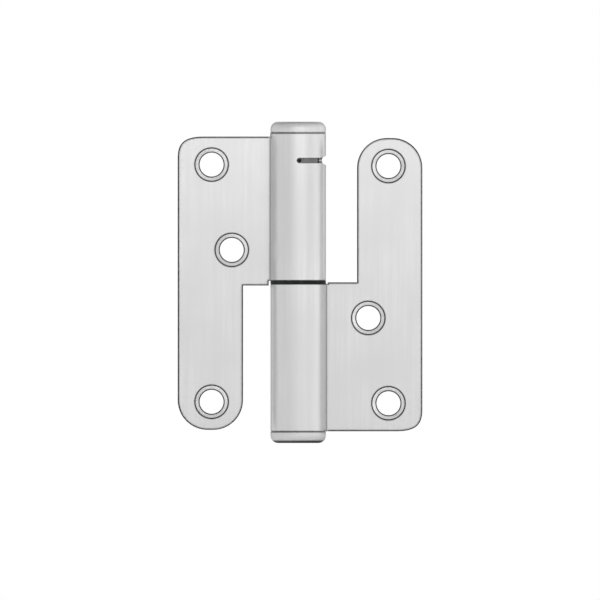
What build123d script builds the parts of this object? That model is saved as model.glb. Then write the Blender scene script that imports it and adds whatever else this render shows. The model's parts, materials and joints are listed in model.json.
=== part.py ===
from build123d import *
import math
import os

# Lift-off spring hinge, opened flat, with its knuckles stacked along the pin. Millimetres.
# The origin lies on the pin's axis, half way through the joint washer, and +Z is up along it.
# The door leaf carries the upper knuckle and reaches towards -X, the frame leaf carries the
# lower knuckle and reaches towards +X. The screw heads face -Y and the backs face +Y.

# Sheet and barrel
BARREL_D = 19.0
SHEET = 2.5
KNUCKLE_LENGTH = 50.6
WASHER_THICKNESS = 1.0
LEAF_GAP = 3.0  # clear space between the leaves when the hinge is closed
CRANK_INNER_R = 2.0  # reverse bend between plate and knuckle
SEAM_GAP = 0.18  # where the rolled end meets the plate's front

# Leaf plates
DOOR_REACH = 41.25
FRAME_REACH = 42.5
LEAF_SHORTER = 0.8  # than the two knuckles together
WIDE_LONGER = 0.4  # the plate's wide half, than its knuckle
LOBE_WIDTH = 22.35
LOBE_CORNER_R = 10.2
DOOR_END_STEP = 1.2  # knuckle end above the plate's edge
FRAME_END_STEP = 0.1
SOFT_CORNER_ALONG = 9.0
SOFT_CORNER_DOWN = 7.4
SOFT_CORNER_TOP_PULL = 1.95
SOFT_CORNER_SIDE_PULL = 2.4
PLATE_TO_KNUCKLE = 0.6  # clearance beside the other leaf's knuckle
STEP_TRIM = 0.1  # sheet left beside the barrel above the plate's edge
EDGE_BREAK = 0.3
SEAM_CHAMFER = 0.25  # round the ends of knuckles and caps

# Screw holes
SCREW_HOLE_D = 8.2
COUNTERSINK_D = 11.4
COUNTERSINK_ANGLE = 90.0
END_HOLE_FROM_SIDE = 11.6
END_HOLE_FROM_END = 9.6
MIDDLE_HOLE_FROM_SIDE = 18.5
MIDDLE_HOLE_FROM_NOTCH = 12.2

# Caps
CAP_HEIGHT = 3.9
CAP_EDGE_R = 2.6
SPIGOT_LENGTH = 4.5
PRESS_CLEARANCE = 0.03  # radial, between pressed pieces of one body
CHAMFER = 0.4

# Pin
PIN_D = 7.0
PIN_FLATS = 5.4
PIN_END_GAP = 0.4  # above the pin, in the collar
PIN_FOOT_GAP = 0.6  # between the pin's foot and the lower cap's spigot
RUNNING_CLEARANCE = 0.05  # radial, pin in its bearings
WASHER_CLEARANCE = 0.1

# Spring train in the upper knuckle, from the joint upwards
BUSH_LENGTH = 8.4
BUSH_RECESS = 0.2
DRIVER_LENGTH = 4.6
TRAIN_GAP = 0.3  # radial and axial, between turning pieces
WIRE_WIDTH = 1.0  # rectangular wire, across its coil
WIRE_HEIGHT = 2.7
COIL_GAP = 0.1  # between turns
SPRING_ROOM = 0.7  # radial, to the knuckle
SPRING_SEAT_GAP = 0.1
TANG_LENGTH = 2.4
TANG_CLEARANCE = 0.1
TANG_TRIM = 0.05  # the tang is dressed down all round
COLLAR_LENGTH = 8.4

# Tensioning slot and collar holes
SLOT_FROM_END = 9.4
SLOT_HEIGHT = 1.7
SLOT_START_ANGLE = -87.4
SLOT_END_ANGLE = 0.0
NOTCH_D = 3.1
NOTCH_OUTSET = 0.15  # notch centre outside the barrel's face
COLLAR_HOLES = 4
COLLAR_HOLE_D = 1.6
COLLAR_HOLE_DEPTH = 4.0
COLLAR_BORE_WEB = 0.5  # metal between the blind bore and the radial holes

BARREL_R = BARREL_D / 2
BORE_R = BARREL_R - SHEET
FRONT_Y = LEAF_GAP / 2
BACK_Y = FRONT_Y + SHEET
KNUCKLE_BASE = WASHER_THICKNESS / 2
KNUCKLE_END = KNUCKLE_BASE + KNUCKLE_LENGTH
WIDE_HEIGHT = KNUCKLE_LENGTH + WIDE_LONGER
LEAF_HEIGHT = 2 * KNUCKLE_LENGTH - LEAF_SHORTER
TRAIN_R = BORE_R - TRAIN_GAP
PRESS_R = BORE_R - PRESS_CLEARANCE
PIN_R = PIN_D / 2
BUSH_BASE = KNUCKLE_BASE + BUSH_RECESS
BUSH_TOP = BUSH_BASE + BUSH_LENGTH
DRIVER_BASE = BUSH_TOP + TRAIN_GAP
DRIVER_TOP = DRIVER_BASE + DRIVER_LENGTH
COLLAR_TOP = KNUCKLE_END - SPIGOT_LENGTH - TRAIN_GAP
COLLAR_BASE = COLLAR_TOP - COLLAR_LENGTH
SPRING_MEAN_R = BORE_R - SPRING_ROOM - WIRE_WIDTH / 2
SPRING_FIRST_Z = DRIVER_TOP + SPRING_SEAT_GAP + WIRE_HEIGHT / 2
SPRING_LAST_Z = COLLAR_BASE - SPRING_SEAT_GAP - WIRE_HEIGHT / 2
COIL_PITCH = WIRE_HEIGHT + COIL_GAP
SPRING_TURNS = (SPRING_LAST_Z - SPRING_FIRST_Z) / COIL_PITCH
SLOT_Z = KNUCKLE_END - SLOT_FROM_END
COLLAR_BORE_TOP = SLOT_Z - COLLAR_HOLE_D / 2 - COLLAR_BORE_WEB
PIN_TOP = COLLAR_BORE_TOP - PIN_END_GAP
PIN_FOOT_LENGTH = KNUCKLE_LENGTH - SPIGOT_LENGTH - PIN_FOOT_GAP
OVERCUT = 1.0

# The inside of the reverse bend meets the barrel's face, so their centres lie one sum of radii apart.
CRANK_Y = BACK_Y + CRANK_INNER_R
CRANK_X = -math.sqrt((BARREL_R + CRANK_INNER_R) ** 2 - CRANK_Y**2)
CRANK_ANGLE = math.degrees(math.atan2(CRANK_Y, CRANK_X))
SEAM_ANGLE = 180 - math.degrees(math.asin((FRONT_Y - SEAM_GAP) / BARREL_R))


def ring(outer_r, inner_r, base, top):
    """A plain turned ring on the pin's axis"""
    face = Circle(outer_r) - Circle(inner_r)
    return extrude(Plane.XY.offset(base) * face, top - base)


def polar(radius, angle):
    return radius * math.cos(math.radians(angle)), radius * math.sin(math.radians(angle))


def knuckle_section():
    """The strip of sheet that leaves the plate, bends back and rolls round the pin"""
    turn_back = 90 + CRANK_ANGLE - 180
    roll = 360 - (SEAM_ANGLE - CRANK_ANGLE)
    with BuildSketch() as section:
        with BuildLine():
            CenterArc((CRANK_X, CRANK_Y), CRANK_INNER_R, -90, turn_back)
            CenterArc((0, 0), BARREL_R, CRANK_ANGLE, -roll)
            Line(polar(BARREL_R, SEAM_ANGLE), polar(BORE_R, SEAM_ANGLE))
            CenterArc((0, 0), BORE_R, CRANK_ANGLE - roll, roll)
            CenterArc((CRANK_X, CRANK_Y), CRANK_INNER_R + SHEET, -90, turn_back)
            Line((CRANK_X, FRONT_Y), (CRANK_X, BACK_Y))
        make_face()
    return section.sketch


def plate_outline(reach, plate_top):
    """The flat blank seen from the front: a wide half, and a rounded lobe past the notch"""
    outer, inner = -reach, LOBE_WIDTH - reach
    notch, foot = plate_top - WIDE_HEIGHT, plate_top - LEAF_HEIGHT
    shoulder = -(BARREL_R + PLATE_TO_KNUCKLE)
    lobe_z = foot + LOBE_CORNER_R
    with BuildSketch() as outline:
        with BuildLine():
            Polyline(
                (CRANK_X, KNUCKLE_BASE),
                (CRANK_X, plate_top),
                (outer + SOFT_CORNER_ALONG, plate_top),
            )
            Bezier(
                (outer + SOFT_CORNER_ALONG, plate_top),
                (outer + SOFT_CORNER_TOP_PULL, plate_top),
                (outer, plate_top - SOFT_CORNER_SIDE_PULL),
                (outer, plate_top - SOFT_CORNER_DOWN),
            )
            Line((outer, plate_top - SOFT_CORNER_DOWN), (outer, lobe_z))
            CenterArc((outer + LOBE_CORNER_R, lobe_z), LOBE_CORNER_R, 180, 90)
            Line((outer + LOBE_CORNER_R, foot), (inner - LOBE_CORNER_R, foot))
            CenterArc((inner - LOBE_CORNER_R, lobe_z), LOBE_CORNER_R, 270, 90)
            Polyline(
                (inner, lobe_z),
                (inner, notch),
                (shoulder, notch),
                (shoulder, KNUCKLE_BASE),
                (CRANK_X, KNUCKLE_BASE),
            )
        make_face()
    return outline.sketch


def screw_hole():
    """Cutter for one countersunk hole: its rim at the origin, running towards +Y"""
    hole_r = SCREW_HOLE_D / 2
    slope = math.tan(math.radians(COUNTERSINK_ANGLE / 2))
    depth = (COUNTERSINK_D / 2 - hole_r) / slope
    rim_r = COUNTERSINK_D / 2 + OVERCUT * slope
    at_start = (Align.CENTER, Align.CENTER, Align.MIN)
    sink = Pos(0, 0, -OVERCUT) * Cone(rim_r, hole_r, depth + OVERCUT, align=at_start)
    through = Cylinder(hole_r, SHEET + OVERCUT, align=at_start)
    return Rot(-90, 0, 0) * (sink + through)


def hole_places(reach, plate_top):
    """Places of the two end holes and the middle hole, as X and Z"""
    end_x = END_HOLE_FROM_SIDE - reach
    return [
        (end_x, plate_top - END_HOLE_FROM_END),
        (MIDDLE_HOLE_FROM_SIDE - reach, plate_top - WIDE_HEIGHT + MIDDLE_HOLE_FROM_NOTCH),
        (end_x, plate_top - LEAF_HEIGHT + END_HOLE_FROM_END),
    ]


def leaf(reach, end_step):
    """One leaf in the door leaf's place, stamped and rolled from one sheet"""
    plate_top = KNUCKLE_END - end_step
    plate = extrude(Plane.XZ.offset(-BACK_Y) * plate_outline(reach, plate_top), SHEET)
    rims = plate.edges().filter_by_position(Axis.Y, FRONT_Y, FRONT_Y)
    rims += plate.edges().filter_by_position(Axis.Y, BACK_Y, BACK_Y)
    neck = plate.edges().filter_by_position(Axis.X, CRANK_X, CRANK_X)
    plate = chamfer([edge for edge in rims if edge not in neck], EDGE_BREAK)
    knuckle = extrude(Plane.XY.offset(KNUCKLE_BASE) * knuckle_section(), KNUCKLE_LENGTH)
    knuckle_rims = knuckle.edges().filter_by(GeomType.CIRCLE).group_by(SortBy.RADIUS)[-1]
    knuckle = chamfer(knuckle_rims, SEAM_CHAMFER)
    above_plate = Pos(-BARREL_R - STEP_TRIM, 0, plate_top) * Box(
        BARREL_D, BARREL_D * 2, BARREL_D, align=(Align.MAX, Align.CENTER, Align.MIN)
    )
    body = plate + (knuckle - above_plate)
    for x, z in hole_places(reach, plate_top):
        body -= Pos(x, FRONT_Y, z) * screw_hole()
    return body


def radial_pin(radius, inner_r, outer_r):
    """A round bar lying along +X from one radius to another"""
    bar = Cylinder(radius, outer_r - inner_r, align=(Align.CENTER, Align.CENTER, Align.MIN))
    return Pos(inner_r, 0, 0) * Rot(0, 90, 0) * bar


def tension_slot():
    """Cutter for the slot a quarter of the way round the knuckle, and its seat at the side"""
    inner_r, outer_r = BORE_R - OVERCUT, BARREL_R + OVERCUT
    sweep_angle = SLOT_END_ANGLE - SLOT_START_ANGLE
    with BuildSketch() as sector:
        with BuildLine():
            CenterArc((0, 0), outer_r, SLOT_START_ANGLE, sweep_angle)
            Line(polar(outer_r, SLOT_END_ANGLE), polar(inner_r, SLOT_END_ANGLE))
            CenterArc((0, 0), inner_r, SLOT_START_ANGLE, sweep_angle)
            Line(polar(outer_r, SLOT_START_ANGLE), polar(inner_r, SLOT_START_ANGLE))
        make_face()
    slot = extrude(Plane.XY.offset(SLOT_Z - SLOT_HEIGHT / 2) * sector.sketch, SLOT_HEIGHT)
    round_end = Pos(0, 0, SLOT_Z) * radial_pin(SLOT_HEIGHT / 2, inner_r, outer_r)
    for angle in (SLOT_START_ANGLE, SLOT_END_ANGLE):
        slot += Rot(0, 0, angle) * round_end
    notch = Rot(90, 0, 0) * Cylinder(NOTCH_D / 2, BARREL_D)
    return slot + Pos(BARREL_R + NOTCH_OUTSET, 0, SLOT_Z) * notch


def door_leaf():
    return leaf(DOOR_REACH, DOOR_END_STEP) - tension_slot()


def frame_leaf():
    return Rot(0, 180, 0) * leaf(FRAME_REACH, FRAME_END_STEP)


def cap():
    """Rounded end cap on the upper knuckle, with a spigot pressed into its bore"""
    crown = Pos(0, 0, KNUCKLE_END) * Cylinder(
        BARREL_R, CAP_HEIGHT, align=(Align.CENTER, Align.CENTER, Align.MIN)
    )
    crown = fillet(crown.edges().sort_by(Axis.Z)[-1], CAP_EDGE_R)
    crown = chamfer(crown.edges().sort_by(Axis.Z)[0], SEAM_CHAMFER)
    spigot = Pos(0, 0, KNUCKLE_END) * Cylinder(
        PRESS_R, SPIGOT_LENGTH, align=(Align.CENTER, Align.CENTER, Align.MAX)
    )
    spigot = chamfer(spigot.edges().sort_by(Axis.Z)[0], CHAMFER)
    return crown + spigot


def hinge_pin():
    """Stepped pin: a thick half pressed in the lower knuckle, a journal with two flats above"""
    foot = Pos(0, 0, -KNUCKLE_BASE) * Cylinder(
        PRESS_R, PIN_FOOT_LENGTH, align=(Align.CENTER, Align.CENTER, Align.MAX)
    )
    foot = chamfer(foot.edges().sort_by(Axis.Z)[0], CHAMFER)
    journal = Pos(0, 0, -KNUCKLE_BASE) * Cylinder(
        PIN_R, PIN_TOP + KNUCKLE_BASE, align=(Align.CENTER, Align.CENTER, Align.MIN)
    )
    journal = chamfer(journal.edges().sort_by(Axis.Z)[-1], CHAMFER)
    flats = Pos(0, 0, BUSH_TOP) * Box(
        PIN_FLATS, PIN_D, PIN_TOP, align=(Align.CENTER, Align.CENTER, Align.MIN)
    )
    below = Pos(0, 0, BUSH_TOP) * Cylinder(
        PIN_D, PIN_TOP * 2, align=(Align.CENTER, Align.CENTER, Align.MAX)
    )
    return foot + (journal & (flats + below))


def bearing_washer():
    return ring(BARREL_R, PIN_R + WASHER_CLEARANCE, -KNUCKLE_BASE, KNUCKLE_BASE)


def bearing_bush():
    return ring(PRESS_R, PIN_R + RUNNING_CLEARANCE, BUSH_BASE, BUSH_TOP)


def tang_notch(end_z):
    """Cutter for the open-sided seat that a spring tang stands in, centred on end_z"""
    inner_r = SPRING_MEAN_R - WIRE_WIDTH / 2 - TANG_CLEARANCE
    width = WIRE_HEIGHT + 2 * TANG_CLEARANCE
    depth = TANG_LENGTH + TANG_CLEARANCE
    return Pos(inner_r, 0, end_z) * Box(
        BORE_R, width, depth * 2, align=(Align.MIN, Align.CENTER, Align.CENTER)
    )


def spring_driver():
    """Ring keyed to the pin's flats, which holds the spring's lower tang"""
    bore = Circle(PIN_R + RUNNING_CLEARANCE) & Rectangle(PIN_FLATS + 2 * RUNNING_CLEARANCE, PIN_D * 2)
    face = Circle(TRAIN_R) - bore
    body = extrude(Plane.XY.offset(DRIVER_BASE) * face, DRIVER_LENGTH)
    return body - tang_notch(DRIVER_TOP)


def torsion_spring():
    """Spring of flat wire between driver and collar, with a tang along the axis at each end"""
    line = Helix(COIL_PITCH, SPRING_LAST_Z - SPRING_FIRST_Z, SPRING_MEAN_R)
    start = Plane(line @ 0, x_dir=(1, 0, 0), z_dir=line % 0)
    section = start * Rectangle(WIRE_WIDTH, WIRE_HEIGHT)
    coil = Pos(0, 0, SPRING_FIRST_Z) * sweep(section, path=line, is_frenet=True)
    thickness, width = WIRE_WIDTH - 2 * TANG_TRIM, WIRE_HEIGHT - 2 * TANG_TRIM
    length = WIRE_HEIGHT + SPRING_SEAT_GAP + TANG_LENGTH - TANG_TRIM
    tang = Pos(SPRING_MEAN_R, 0, WIRE_HEIGHT / 2 - TANG_TRIM) * Box(
        thickness, width, length, align=(Align.CENTER, Align.CENTER, Align.MAX)
    )
    lower = Pos(0, 0, SPRING_FIRST_Z) * tang
    upper = Rot(0, 0, 360 * SPRING_TURNS) * Pos(0, 0, SPRING_LAST_Z) * Rot(180, 0, 0) * tang
    return coil + lower + upper


def tension_collar():
    """Turned collar that winds the spring: radial holes for a bar, and a bore for the pin's end"""
    at_base = (Align.CENTER, Align.CENTER, Align.MIN)
    body = Pos(0, 0, COLLAR_BASE) * Cylinder(TRAIN_R, COLLAR_LENGTH, align=at_base)
    body = chamfer(body.edges().filter_by(GeomType.CIRCLE), CHAMFER)
    bore_r = PIN_R + RUNNING_CLEARANCE
    body -= Pos(0, 0, COLLAR_BASE) * Cylinder(bore_r, COLLAR_BORE_TOP - COLLAR_BASE, align=at_base)
    body -= Rot(0, 0, 360 * SPRING_TURNS) * tang_notch(COLLAR_BASE)
    bar_hole = Pos(0, 0, SLOT_Z) * radial_pin(
        COLLAR_HOLE_D / 2, TRAIN_R - COLLAR_HOLE_DEPTH, TRAIN_R + OVERCUT
    )
    for index in range(COLLAR_HOLES):
        body -= Rot(0, 0, SLOT_START_ANGLE + index * 360 / COLLAR_HOLES) * bar_hole
    return body


NODES = {
    "door_leaf": door_leaf,
    "frame_leaf": frame_leaf,
    "top_cap": cap,
    "bottom_cap": lambda: Rot(0, 180, 0) * cap(),
    "hinge_pin": hinge_pin,
    "bearing_washer": bearing_washer,
    "bearing_bush": bearing_bush,
    "spring_driver": spring_driver,
    "torsion_spring": torsion_spring,
    "tension_collar": tension_collar,
}

os.makedirs("parts", exist_ok=True)
for name, build in NODES.items():
    export_step(build(), f"parts/{name}.step")
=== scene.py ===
import json
import math

import bpy
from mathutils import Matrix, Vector

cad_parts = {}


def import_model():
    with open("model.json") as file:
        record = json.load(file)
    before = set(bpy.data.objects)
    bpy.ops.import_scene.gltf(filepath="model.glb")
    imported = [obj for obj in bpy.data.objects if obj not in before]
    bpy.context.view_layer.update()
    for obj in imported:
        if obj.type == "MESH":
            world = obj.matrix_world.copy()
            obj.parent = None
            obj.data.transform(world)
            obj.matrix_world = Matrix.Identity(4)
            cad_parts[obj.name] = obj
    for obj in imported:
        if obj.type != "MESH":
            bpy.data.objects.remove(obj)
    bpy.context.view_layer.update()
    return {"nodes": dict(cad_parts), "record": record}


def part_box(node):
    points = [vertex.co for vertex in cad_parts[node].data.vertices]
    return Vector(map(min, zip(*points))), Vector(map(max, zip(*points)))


# A lift-off spring hinge in satin steel, opened flat and seen square from the front.

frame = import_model()
mounts = {mount["name"]: mount for mount in frame["record"]["mounts"]}

MM = 0.001

# The photograph, and the camera in front of it
PHOTO_SIZE = 600
PHOTO_SCALE = 2.921  # photo pixels per millimetre
PHOTO_AXIS_X = 298.2  # photo column of the pin's axis
PHOTO_JOINT_Y = 282.32  # photo row of the joint washer
CAMERA_DISTANCE = 0.6

# The floor and the lamps
FLOOR_COLOR = (0.93, 0.93, 0.93)
FLOOR_SIZE = 12.0
SUN_IRRADIANCE = 1.1
SUN_SPREAD = math.radians(35)
PANEL_GLOW = 0.75  # radiance of the large panel in front of the object
SIDE_GLOW = 0.12  # radiance of the panel at the right

# The world, by the direction in which it is seen
BACKGROUND = 1.0  # brightness for the camera
AMBIENT = 0.72  # brightness for matt surfaces
GLOSS_LEVEL = 1.08  # brightness that metal reflects
GLOSS_TO_RIGHT = 0.17  # added to it at the right, and taken off at the left
GLOSS_TO_BACK = 0.17  # added behind the object, and taken off in front of it
GLOSS_UP_AND_DOWN = -0.35  # added straight above and below
CARD_SHADE = 0.12  # brightness left where metal reflects a dark card behind the object

# Where each dark card begins and is full, in parts of a direction of length 1
UPPER_CARD_HEIGHT = (0.5, 0.8)  # the lower card is as far down
UPPER_CARD_BACK = (0.15, 0.45)
SIDE_CARD_ASIDE = (0.1, 0.3)  # the cards at both sides are alike
SIDE_CARD_BACK = (0.71, 0.86)

# Colours of the metals and plastics
STEEL = (0.7, 0.7, 0.7)
GROUND_STEEL = (0.5, 0.5, 0.51)
WIRE_STEEL = (0.22, 0.22, 0.23)
WIRE_STAIN = (0.16, 0.14, 0.13)
BLACK_OXIDE = (0.24, 0.24, 0.245)
RUBBED_OXIDE = (0.38, 0.37, 0.36)
NYLON = (0.012, 0.012, 0.013)
BRONZE = (0.5, 0.33, 0.17)
RIM_TINT = (0.9, 0.9, 0.9)  # of the reflectance at a grazing angle

# Painted shade and highlight, and marks of making
EDGE_PAINTED_SHADE = 0.05  # brightness left on the rims of the leaves and the caps, as painted shade
CREVICE_PAINTED_SHADE = 0.2  # brightness left in gaps and corners, as painted shade
FRESH_CUT_AND_HIGHLIGHT = 1.35  # brightness of the countersinks: freshly turned metal, lightened further as painted highlight
GRAIN_DEPTH = 0.004 * MM
TURNING_PITCH = 0.32 * MM  # of the rings in the countersinks
EDGE_SHADE_START_TURN = 0.999  # cosine of an edge's turn where the painted edge shade begins
EDGE_SHADE_FULL_TURN = 0.985  # cosine of an edge's turn where the painted edge shade is full

# Leaves
SHEET_BACK_Y = mounts["door_back"]["pos_m"][1]
BARREL_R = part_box("bearing_washer")[1].x
COUNTERSINK_R = 5.7 * MM
HOLE_R = mounts["door_screws"]["dims"]["hole_r_mm"] * MM
HOLE_LINE_R = HOLE_R + 0.15 * MM  # of the painted shade line round the hole
LINE_FADE = (0.32 * MM, 0.12 * MM)  # from a painted shade line's middle, where it begins and is full
LINE_DEPTH = (0.35 * MM, 0.65 * MM)  # in front of the sheet's back, where they begin and are full
PLATE_START = (BARREL_R + 0.3 * MM, BARREL_R + 1.1 * MM)  # where a plate's rims begin, beside the barrel
OFF_FACE = (0.95, 0.8)  # cosine of the turn from the sheet's face, where a rim begins
SIDE_WALL = (0.4, 0.2)  # and where its sheared side begins, which gets no painted shade


class Nodes:
    """Short calls for the nodes of one tree"""

    def __init__(self, tree):
        self.tree = tree

    def add(self, kind, inputs=None, **settings):
        node = self.tree.nodes.new(kind)
        for key, value in settings.items():
            setattr(node, key, value)
        for key, value in (inputs or {}).items():
            self.feed(node.inputs[key], value)
        return node

    def feed(self, socket, value):
        if isinstance(value, bpy.types.NodeSocket):
            self.tree.links.new(value, socket)
        else:
            socket.default_value = value

    def math(self, operation, first, second=0.0, third=0.0):
        inputs = {0: first, 1: second, 2: third}
        return self.add("ShaderNodeMath", inputs, operation=operation).outputs[0]

    def ramp(self, value, low, high):
        """A smooth step from 0 at one value to 1 at another"""
        inputs = {"Value": value, 1: low, 2: high}
        node = self.add("ShaderNodeMapRange", inputs, interpolation_type="SMOOTHSTEP")
        return node.outputs["Result"]

    def split(self, vector):
        return self.add("ShaderNodeSeparateXYZ", {"Vector": vector}).outputs


class Shader(Nodes):
    """A material's nodes, over the object's own coordinates"""

    def __init__(self, name):
        self.material = bpy.data.materials.new(name)
        self.material.use_nodes = True
        super().__init__(self.material.node_tree)
        self.surface = self.tree.nodes["Principled BSDF"]
        coordinates = self.add("ShaderNodeTexCoord").outputs
        self.place = coordinates["Object"]
        self.normal = coordinates["Normal"]
        self.x, self.y, self.z = self.split(self.place)

    def noise(self, waves, detail=3.0, stretch=(1, 1, 1), turn=(0, 0, 0), roughness=0.55):
        """Noise between 0 and 1, with its waves per metre. A stretch under 1 draws it out"""
        inputs = {"Vector": self.place, "Scale": stretch, "Rotation": turn}
        moved = self.add("ShaderNodeMapping", inputs).outputs[0]
        inputs = {"Vector": moved, "Scale": waves, "Detail": detail, "Roughness": roughness}
        return self.add("ShaderNodeTexNoise", inputs).outputs["Fac"]

    def rings(self, distance, pitch):
        """Waves between -1 and 1, one for each pitch"""
        return self.math("SINE", self.math("MULTIPLY", distance, math.tau / pitch))

    def mix(self, share, first, second):
        """A colour between two colours, by a share from 0 to 1"""
        node = self.add("ShaderNodeMix", data_type="RGBA")
        self.feed(node.inputs["Factor"], share)
        for key, value in (("A", first), ("B", second)):
            socket = [s for s in node.inputs if s.name == key and s.type == "RGBA"][0]
            self.feed(socket, value if isinstance(value, bpy.types.NodeSocket) else (*value, 1.0))
        return [s for s in node.outputs if s.type == "RGBA"][0]

    def bump(self, height, depth, normal=None):
        """Bump by a height from 0 to 1, whose full step is depth in metres"""
        inputs = {"Height": height, "Distance": depth, "Strength": 1.0}
        if normal is not None:
            inputs["Normal"] = normal
        return self.add("ShaderNodeBump", inputs).outputs["Normal"]

    def rounded(self, radius):
        """Normals as if every edge had this small radius"""
        return self.add("ShaderNodeBevel", {"Radius": radius}, samples=4).outputs["Normal"]

    def edges(self, radius, flat=0.997, edge=0.95):
        """1 on outer and inner edges and 0 on flat stretches, by the cosine of their turn"""
        true = self.add("ShaderNodeNewGeometry").outputs["True Normal"]
        inputs = {0: self.rounded(radius), 1: true}
        turn = self.add("ShaderNodeVectorMath", inputs, operation="DOT_PRODUCT").outputs["Value"]
        return self.ramp(turn, flat, edge)

    def crevices(self, distance, open_above=0.55, closed_below=0.05):
        """1 deep in gaps and corners, 0 in the open"""
        node = self.add("ShaderNodeAmbientOcclusion", {"Distance": distance}, samples=6)
        return self.ramp(node.outputs["AO"], open_above, closed_below)

    def finish(self, color, roughness, normal, metallic=1.0, specular=0.5):
        inputs = self.surface.inputs
        inputs["Metallic"].default_value = metallic
        inputs["Specular IOR Level"].default_value = specular
        inputs["Specular Tint"].default_value = (*RIM_TINT, 1.0)
        self.feed(inputs["Base Color"], color)
        self.feed(inputs["Roughness"], roughness)
        self.feed(inputs["Normal"], normal)
        return self.material


def tint(color, gain):
    return tuple(channel * gain for channel in color)


def screw_places():
    """X and Z of all screw holes, from the record's mounts"""
    places = []
    for mount in mounts.values():
        x, _, z = mount["pos_m"]
        if mount["kind"] == "bolt_pattern":
            half = mount["dims"]["spacing_y_mm"] * MM / 2
            places += [(x, z - half), (x, z + half)]
        elif mount["kind"] == "bore":
            places.append((x, z))
    return places


def hole_distance(shader):
    """Distance from the nearest screw hole's axis, in metres"""
    squares = []
    for hole_x, hole_z in screw_places():
        across = shader.math("SUBTRACT", shader.x, hole_x)
        up = shader.math("SUBTRACT", shader.z, hole_z)
        up_square = shader.math("MULTIPLY", up, up)
        squares.append(shader.math("MULTIPLY_ADD", across, across, up_square))
    nearest = squares[0]
    for square in squares[1:]:
        nearest = shader.math("MINIMUM", nearest, square)
    return shader.math("SQRT", nearest)


def off_the_back(shader, near, far):
    """0 up to one distance in front of the leaves' back, and 1 from another on"""
    return shader.ramp(shader.y, SHEET_BACK_Y - near, SHEET_BACK_Y - far)


def countersinks(shader, distance):
    """1 in the countersinks, 0 beside them and on the leaves' back"""
    inside = shader.ramp(distance, COUNTERSINK_R + 0.2 * MM, COUNTERSINK_R - 0.1 * MM)
    return shader.math("MULTIPLY", inside, off_the_back(shader, 0.1 * MM, 0.3 * MM))


def plate_rims(shader, inside):
    """1 on the rims and chamfers round a leaf's plate, 0 on its countersinks and its knuckle"""
    plate = shader.ramp(shader.math("ABSOLUTE", shader.x), *PLATE_START)
    plate = shader.math("MULTIPLY", shader.math("SUBTRACT", 1.0, inside), plate)
    facing = shader.math("ABSOLUTE", shader.split(shader.normal)["Y"])
    off_face = shader.ramp(facing, *OFF_FACE)
    side_wall = shader.ramp(facing, *SIDE_WALL)
    chamfer = shader.math("SUBTRACT", off_face, side_wall)
    rim = shader.math("MAXIMUM", chamfer, shader.edges(1.0 * MM, EDGE_SHADE_START_TURN, EDGE_SHADE_FULL_TURN))
    return shader.math("MULTIPLY", plate, rim)


def leaf_painted_shade(shader, distance, inside):
    """1 where a leaf gets painted shade: on every edge, round the plate and round the countersinks"""
    edge_shade = shader.math("MAXIMUM", shader.edges(0.3 * MM), plate_rims(shader, inside))
    front = off_the_back(shader, *LINE_DEPTH)
    for radius in (COUNTERSINK_R, HOLE_LINE_R):
        off = shader.math("ABSOLUTE", shader.math("SUBTRACT", distance, radius))
        line = shader.math("MULTIPLY", shader.ramp(off, *LINE_FADE), front)
        edge_shade = shader.math("MAXIMUM", edge_shade, line)
    return edge_shade


def scratches(shader, degrees, rareness):
    """Sparse fine lines at an angle to the grain, 1 on a line and 0 beside it"""
    turn = (0, math.radians(degrees), 0)
    line = shader.noise(900, detail=1.0, stretch=(1, 1, 0.012), turn=turn)
    line = shader.ramp(line, rareness, rareness + 0.03)
    patch = shader.ramp(shader.noise(160, detail=1.0), 0.5, 0.62)
    return shader.math("MULTIPLY", line, patch)


def satin_steel(name, roughness, has_holes):
    """Brushed and satin-plated steel with painted shade on its edges and in its gaps, and turned
    countersinks brightened with painted highlight if it has holes
    """
    shader = Shader(name)
    grain = shader.noise(2600, detail=4.0, stretch=(1, 1, 0.02), roughness=0.6)
    streak = shader.noise(650, detail=4.0, stretch=(1, 1, 0.03), roughness=0.65)
    cloud = shader.noise(45, detail=2.0)
    toned = shader.mix(shader.ramp(cloud, 0.3, 0.7), tint(STEEL, 0.95), tint(STEEL, 1.03))
    toned = shader.mix(shader.ramp(streak, 0.3, 0.7), toned, tint(STEEL, 0.945))
    if has_holes:
        distance = hole_distance(shader)
        inside = countersinks(shader, distance)
        turned = shader.math("MULTIPLY_ADD", shader.rings(distance, TURNING_PITCH), 0.5, 0.5)
        blend = shader.add("ShaderNodeMix", {"Factor": inside, "A": grain, "B": turned})
        height = blend.outputs[0]
        # The countersinks are lightened: partly freshly turned metal, partly painted highlight against
        # their darker reflection
        toned = shader.mix(inside, toned, tint(STEEL, FRESH_CUT_AND_HIGHLIGHT))
        edge_shade = leaf_painted_shade(shader, distance, inside)
    else:
        height = grain
        edge_shade = shader.edges(0.5 * MM, EDGE_SHADE_START_TURN, EDGE_SHADE_FULL_TURN)
    # Painted shade: the edges, the plates' rims and the lines round the countersinks and holes are
    # darkened
    toned = shader.mix(edge_shade, toned, tint(STEEL, EDGE_PAINTED_SHADE))
    # Painted shade: gaps and corners are darkened by their occlusion
    gap_shade = shader.crevices(1.2 * MM, open_above=0.85, closed_below=0.45)
    toned = shader.mix(gap_shade, toned, tint(STEEL, CREVICE_PAINTED_SHADE))
    lines = shader.math("MAXIMUM", scratches(shader, 23, 0.71), scratches(shader, -38, 0.72))
    normal = shader.bump(height, GRAIN_DEPTH, shader.rounded(0.12 * MM))
    normal = shader.bump(lines, -GRAIN_DEPTH, normal)
    rough = shader.math("MULTIPLY_ADD", grain, 0.12, roughness)
    rough = shader.math("MULTIPLY_ADD", cloud, 0.06, rough)
    return shader.finish(toned, rough, normal)


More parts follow.
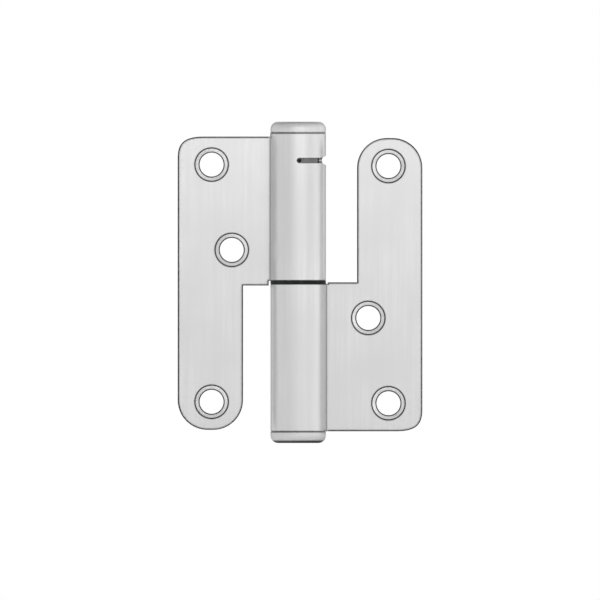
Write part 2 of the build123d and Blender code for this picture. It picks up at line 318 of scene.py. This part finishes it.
def turned_steel(name, color, pitch, roughness):
    """Turned bar, with fine rings round the pin's axis, edges lightened as wear and painted highlight,
    and painted shade in the corners
    """
    shader = Shader(name)
    fine = shader.noise(1400, stretch=(0.05, 0.05, 1))
    height = shader.math("MULTIPLY_ADD", shader.rings(shader.z, pitch), 0.3, fine)
    normal = shader.bump(height, 0.003 * MM, shader.rounded(0.1 * MM))
    cloud = shader.noise(220)
    toned = shader.mix(shader.ramp(cloud, 0.35, 0.7), color, tint(color, 0.94))
    # Edges lightened, partly as wear and partly as painted highlight
    toned = shader.mix(shader.edges(0.2 * MM), toned, tint(color, 1.3))
    # Painted shade: corners are darkened by their occlusion
    toned = shader.mix(shader.crevices(0.6 * MM), toned, tint(color, 0.35))
    rough = shader.math("MULTIPLY_ADD", cloud, 0.14, roughness)
    return shader.finish(toned, rough, normal)


def spring_wire():
    """Oil-tempered wire with a faint draw line along the coil"""
    shader = Shader("spring_wire")
    drawn = shader.noise(1800, detail=2.0, stretch=(0.3, 0.3, 1))
    cloud = shader.noise(300)
    toned = shader.mix(shader.ramp(cloud, 0.4, 0.7), WIRE_STEEL, WIRE_STAIN)
    normal = shader.bump(drawn, GRAIN_DEPTH, shader.rounded(0.2 * MM))
    rough = shader.math("MULTIPLY_ADD", cloud, 0.2, 0.22)
    return shader.finish(toned, rough, normal)


def black_oxide():
    """Blackened collar with turning rings, rubbed bright at its edges, with painted shade in its holes
    and gaps
    """
    shader = Shader("black_oxide")
    grain = shader.noise(3000)
    height = shader.math("MULTIPLY_ADD", shader.rings(shader.z, 0.3 * MM), 0.25, grain)
    normal = shader.bump(height, GRAIN_DEPTH, shader.rounded(0.1 * MM))
    rubbed = shader.math("MULTIPLY", shader.edges(0.25 * MM), shader.ramp(grain, 0.3, 0.6))
    toned = shader.mix(rubbed, BLACK_OXIDE, RUBBED_OXIDE)
    # Painted shade: holes and gaps are darkened by their occlusion
    toned = shader.mix(shader.crevices(1.5 * MM), toned, tint(BLACK_OXIDE, CREVICE_PAINTED_SHADE))
    rough = shader.math("MULTIPLY_ADD", grain, 0.2, 0.34)
    return shader.finish(toned, rough, normal, metallic=0.7)


def nylon():
    """Moulded black washer"""
    shader = Shader("nylon")
    pores = shader.noise(5200)
    cloud = shader.noise(400, detail=2.0)
    toned = shader.mix(shader.ramp(cloud, 0.35, 0.7), NYLON, tint(NYLON, 1.8))
    normal = shader.bump(pores, 0.006 * MM, shader.rounded(0.1 * MM))
    rough = shader.math("MULTIPLY_ADD", pores, 0.25, 0.42)
    return shader.finish(toned, rough, normal, metallic=0.0, specular=0.1)


def bronze():
    """Sintered bush: pressed grains, dark pores and a film of oil"""
    shader = Shader("bronze")
    inputs = {"Vector": shader.place, "Scale": 4200.0}
    grains = shader.add("ShaderNodeTexVoronoi", inputs).outputs["Distance"]
    pores = shader.ramp(grains, 0.55, 0.85)
    toned = shader.mix(pores, BRONZE, tint(BRONZE, 0.3))
    normal = shader.bump(grains, -0.01 * MM, shader.rounded(0.1 * MM))
    rough = shader.math("MULTIPLY_ADD", pores, 0.3, 0.3)
    return shader.finish(toned, rough, normal)


def dress():
    """Gives each CAD node its finish"""
    leaf = satin_steel("satin_steel", 0.25, has_holes=True)
    cap = satin_steel("satin_cap", 0.38, has_holes=False)
    finishes = {
        "door_leaf": leaf,
        "frame_leaf": leaf,
        "top_cap": cap,
        "bottom_cap": cap,
        "hinge_pin": turned_steel("ground_pin", GROUND_STEEL, 0.22 * MM, 0.16),
        "spring_driver": turned_steel("turned_driver", tint(GROUND_STEEL, 0.85), 0.35 * MM, 0.28),
        "torsion_spring": spring_wire(),
        "tension_collar": black_oxide(),
        "bearing_washer": nylon(),
        "bearing_bush": bronze(),
    }
    for name, material in finishes.items():
        slots = frame["nodes"][name].material_slots
        if not slots:
            frame["nodes"][name].data.materials.append(material)
        for slot in slots:
            slot.material = material


def floor():
    """Plain pale floor under the lower cap"""
    half = FLOOR_SIZE / 2
    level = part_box("bottom_cap")[0].z
    corners = [(-half, -half), (half, -half), (half, half), (-half, half)]
    mesh = bpy.data.meshes.new("floor")
    mesh.from_pydata([(x, y, level) for x, y in corners], [], [(0, 1, 2, 3)])
    plane = bpy.data.objects.new("floor", mesh)
    bpy.context.scene.collection.objects.link(plane)
    shader = Shader("pale_floor")
    toned = shader.mix(shader.noise(3, detail=2.0), FLOOR_COLOR, tint(FLOOR_COLOR, 1.03))
    normal = shader.bump(shader.noise(400, detail=2.0), 0.05 * MM)
    mesh.materials.append(shader.finish(toned, 0.7, normal, metallic=0.0))


def world():
    """White to the camera. Metal reflects a pale studio, which is brighter at the right and at the
    back, with dark cards behind the object: above it, below it and at both sides"""
    studio = bpy.data.worlds.new("studio")
    studio.use_nodes = True
    bpy.context.scene.world = studio
    studio.node_tree.nodes.clear()
    nodes = Nodes(studio.node_tree)

    def background(strength):
        inputs = {"Color": (1, 1, 1, 1), "Strength": strength}
        return nodes.add("ShaderNodeBackground", inputs).outputs[0]

    def choose(share, first, second):
        return nodes.add("ShaderNodeMixShader", {0: share, 1: first, 2: second}).outputs[0]

    x, y, z = nodes.split(nodes.add("ShaderNodeTexCoord").outputs["Generated"])
    height = nodes.math("ABSOLUTE", z)
    aside = nodes.math("ABSOLUTE", x)
    gloss = nodes.math("MULTIPLY_ADD", x, GLOSS_TO_RIGHT, GLOSS_LEVEL)
    gloss = nodes.math("MULTIPLY_ADD", y, GLOSS_TO_BACK, gloss)
    gloss = nodes.math("MULTIPLY_ADD", height, GLOSS_UP_AND_DOWN, gloss)
    upper = nodes.ramp(height, *UPPER_CARD_HEIGHT)
    upper = nodes.math("MULTIPLY", upper, nodes.ramp(y, *UPPER_CARD_BACK))
    beside = nodes.ramp(aside, *SIDE_CARD_ASIDE)
    beside = nodes.math("MULTIPLY", beside, nodes.ramp(y, *SIDE_CARD_BACK))
    card = nodes.math("MAXIMUM", upper, beside)
    shade = nodes.math("MULTIPLY_ADD", card, CARD_SHADE - 1, 1.0)
    gloss = nodes.math("MULTIPLY", gloss, shade)
    ray = nodes.add("ShaderNodeLightPath").outputs
    seen = nodes.math("MAXIMUM", ray["Is Camera Ray"], ray["Is Transmission Ray"])
    lit = choose(ray["Is Glossy Ray"], background(AMBIENT), background(gloss))
    surface = choose(seen, lit, background(BACKGROUND))
    nodes.add("ShaderNodeOutputWorld", {"Surface": surface})


def softbox(name, place, aim, width, height, radiance):
    """An area lamp aimed at a point"""
    data = bpy.data.lights.new(name, "AREA")
    data.shape = "RECTANGLE"
    data.size = width
    data.size_y = height
    data.energy = radiance * math.pi * width * height
    lamp = bpy.data.objects.new(name, data)
    lamp.location = place
    lamp.rotation_euler = (Vector(aim) - Vector(place)).to_track_quat("-Z", "Y").to_euler()
    bpy.context.scene.collection.objects.link(lamp)


def sun(name, towards, irradiance, spread):
    """A distant soft lamp for the shadow on the floor, which metal doesn't reflect"""
    data = bpy.data.lights.new(name, "SUN")
    data.energy = irradiance
    data.angle = spread
    lamp = bpy.data.objects.new(name, data)
    lamp.rotation_euler = Vector(towards).to_track_quat("-Z", "Y").to_euler()
    lamp.visible_glossy = False
    bpy.context.scene.collection.objects.link(lamp)


def lights():
    """A panel high in front of the object, a weak one at its right, and the sun"""
    place = (0.07, -0.4, 0.21)
    softbox("panel", place, (0.07, 0, 0.21), width=0.42, height=0.3, radiance=PANEL_GLOW)
    softbox("side", (0.6, -0.08, 0.0), (0, 0, 0), width=0.25, height=0.4, radiance=SIDE_GLOW)
    sun("key", (0.3, 0.4, -0.7), SUN_IRRADIANCE, SUN_SPREAD)


def camera():
    """Square to the front, with the photograph's own scale and centre"""
    data = bpy.data.cameras.new("camera")
    data.type = "ORTHO"
    data.ortho_scale = PHOTO_SIZE / PHOTO_SCALE * MM
    eye = bpy.data.objects.new("camera", data)
    middle = PHOTO_SIZE / 2
    eye.location = (
        (middle - PHOTO_AXIS_X) / PHOTO_SCALE * MM,
        -CAMERA_DISTANCE,
        (PHOTO_JOINT_Y - middle) / PHOTO_SCALE * MM,
    )
    eye.rotation_euler = (math.radians(90), 0, 0)
    bpy.context.scene.collection.objects.link(eye)
    bpy.context.scene.camera = eye


bpy.context.scene.view_settings.view_transform = "Standard"
dress()
floor()
world()
lights()
camera()
